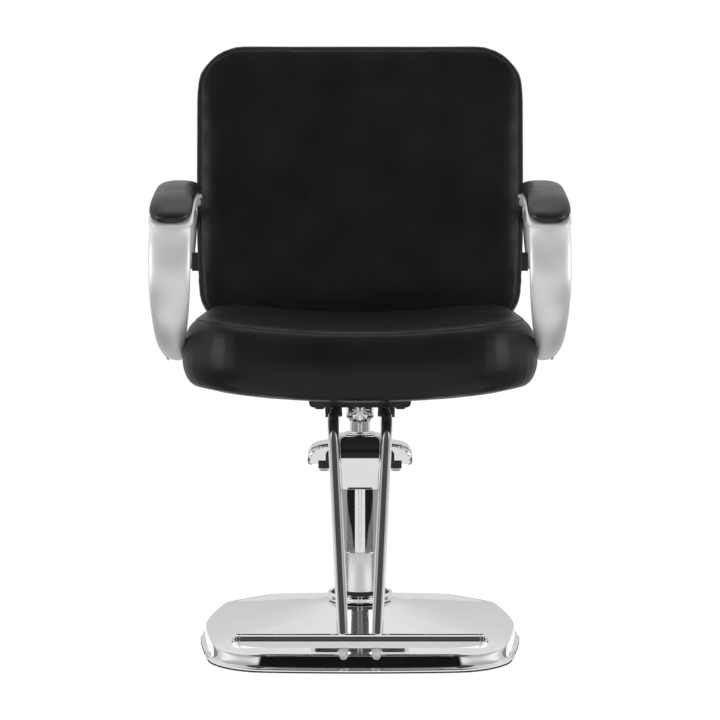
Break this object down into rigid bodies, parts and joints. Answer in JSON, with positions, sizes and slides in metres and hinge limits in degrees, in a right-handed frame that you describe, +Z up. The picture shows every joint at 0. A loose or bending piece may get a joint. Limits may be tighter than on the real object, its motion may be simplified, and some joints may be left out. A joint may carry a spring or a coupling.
{
  "type": "hairdressing chair",
  "caption": "Hydraulic hairdressing chair with upholstered seat and back, satin band arms with pads, tubular footrest, foot pedal and pressed square base.",
  "frame": {"origin": "the column's axis on the floor, under the middle of the base", "axes": "+Z up along the column, -Y is where the chair faces, +X is the sitter's left"},
  "size_m": [0.6034, 0.6672, 0.9107],
  "materials": {
    "chrome": "bright plated",
    "satin_metal": "satin silver",
    "satin_steel": "satin plated",
    "steel": "zinc plated",
    "black_steel": "black powder coat",
    "cast_block": "black painted casting",
    "vinyl": "black upholstery vinyl, fine grain",
    "pad_skin": "soft self-skinned foam",
    "rubber": "matte",
    "timber": "plain plywood",
    "plug": "light grey moulded"
  },
  "bodies": {
    "pump_base": {"base_shell": "chrome", "base_rim_trim": "rubber", "base_plate": "steel", "column_flange": "steel", "column_flange_bolts": "steel", "foot_ring": "chrome", "column_tube": "chrome", "lower_sleeve": "satin_steel", "column_cap": "chrome", "wiper_seal": "rubber", "pump_cylinder": "steel", "pump_block": "cast_block", "lever_pivot_pin": "steel", "plunger_spring": "steel"},
    "piston": {"piston_rod": "chrome", "piston_head": "steel", "piston_seal": "rubber", "rest_washer": "chrome"},
    "seat": {"taper_socket": "satin_steel", "clamp_screw": "steel", "support_plate": "black_steel", "support_plate_bolts": "steel", "seat_board": "timber", "seat_side_rails": "timber", "seat_cushion": "vinyl", "arm_left": "satin_metal", "arm_right": "satin_metal", "arm_pad_left": "pad_skin", "arm_pad_right": "pad_skin", "arm_seat_bolts": "steel", "arm_back_brackets": "black_steel", "arm_back_bolts": "steel", "back_cushion": "vinyl", "back_frame": "timber", "back_shell": "vinyl", "back_uprights": "black_steel", "back_upright_bolts": "steel", "footrest_tube_left": "chrome", "footrest_tube_right": "chrome", "footrest_clips": "black_steel", "footrest_bar": "chrome", "footrest_bar_caps": "chrome", "footrest_tube_plugs": "plug", "footrest_web": "chrome"},
    "pedal": {"pedal_lever": "black_steel", "pedal_bracket": "black_steel", "pedal_pad": "chrome", "pedal_bolts": "steel"},
    "plunger": {"pump_plunger": "steel"}
  },
  "joints": [
    {"name": "lift", "type": "slide", "parent": "pump_base", "child": "piston", "axis": [0, 0, 1], "range_m": [0, 0.15]},
    {"name": "swivel", "type": "hinge", "parent": "piston", "child": "seat", "pos_m": [0, 0, 0.35], "axis": [0, 0, 1], "continuous": true},
    {"name": "pedal_press", "type": "hinge", "parent": "pump_base", "child": "pedal", "pos_m": [0, 0.048, 0.272], "axis": [-1, 0, 0], "range_deg": [0, 22], "stiffness_Nm_per_rad": 12, "springref_deg": -20.05},
    {"name": "plunger_slide", "type": "slide", "parent": "pump_base", "child": "plunger", "axis": [0, 0, -1], "range_m": [0, 0.0125], "deforming": ["plunger_spring"]}
  ],
  "couplings": [
    {"joint": "plunger_slide", "follows": "pedal_press", "m_per_rad": 0.0325}
  ]
}
